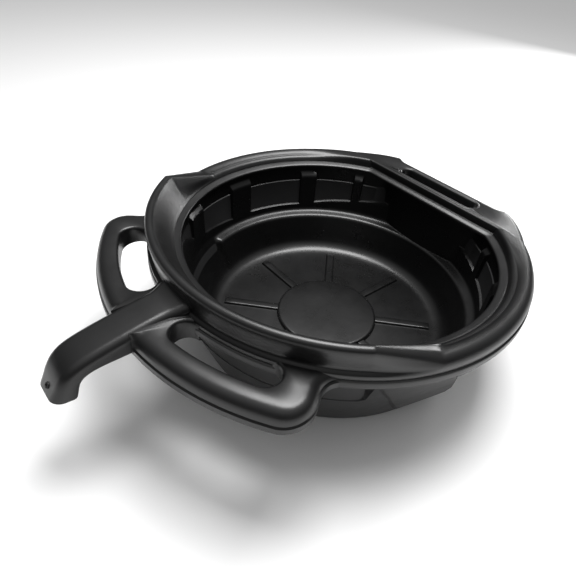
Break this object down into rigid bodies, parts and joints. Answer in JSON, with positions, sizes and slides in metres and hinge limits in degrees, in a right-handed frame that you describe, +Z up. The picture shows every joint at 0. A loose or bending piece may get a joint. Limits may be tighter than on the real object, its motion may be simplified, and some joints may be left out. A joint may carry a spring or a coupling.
{
  "type": "oil drain pan",
  "caption": "Round moulded plastic oil drain pan with a raised splash guard, downturned pouring spout, loop side handles and a slotted rear grip.",
  "frame": {"origin": "on the ground under the centre of the round basin, at the middle of the flat underside", "axes": "+X towards the rear grip, so the spout points to -X; +Y towards the handle and rim half named left; +Z up"},
  "size_m": [0.613, 0.48, 0.184],
  "materials": {
    "basin": "satin black moulded polyethylene",
    "underbody": "satin black moulded polyethylene",
    "rim_and_handles": "satin black moulded polyethylene",
    "plug": "matte black plastic"
  },
  "bodies": {
    "root": {"base_skin": "underbody", "floor_skin": "basin", "wall_left_1": "basin", "wall_left_2": "basin", "wall_left_3": "basin", "wall_left_4": "basin", "wall_left_5": "basin", "wall_left_6": "basin", "wall_left_7": "basin", "wall_right_1": "basin", "wall_right_2": "basin", "wall_right_3": "basin", "wall_right_4": "basin", "wall_right_5": "basin", "wall_right_6": "basin", "wall_right_7": "basin", "rear_ledge": "basin", "rear_wall": "basin", "centre_disc": "basin", "floor_rib_1": "basin", "floor_rib_2": "basin", "floor_rib_3": "basin", "floor_rib_4": "basin", "floor_rib_5": "basin", "floor_rib_6": "basin", "floor_rib_7": "basin", "floor_rib_8": "basin", "pilaster_left_1": "basin", "pilaster_left_2": "basin", "pilaster_left_3": "basin", "pilaster_left_4": "basin", "pilaster_left_5": "basin", "pilaster_right_1": "basin", "pilaster_right_2": "basin", "pilaster_right_3": "basin", "pilaster_right_4": "basin", "pilaster_right_5": "basin", "rim_left": "rim_and_handles", "rim_right": "rim_and_handles", "splash_guard": "rim_and_handles", "ramp_left": "rim_and_handles", "ramp_right": "rim_and_handles", "rear_grip": "rim_and_handles", "handle_left": "rim_and_handles", "handle_right": "rim_and_handles", "spout_arm": "rim_and_handles", "spout_nozzle": "rim_and_handles", "spout_plug": "plug", "skirt_shoulder_left": "underbody", "skirt_shoulder_right": "underbody", "skirt_corner_left": "underbody", "skirt_corner_right": "underbody", "rim_lug_left": "rim_and_handles", "rim_lug_right": "rim_and_handles"}
  },
  "joints": []
}
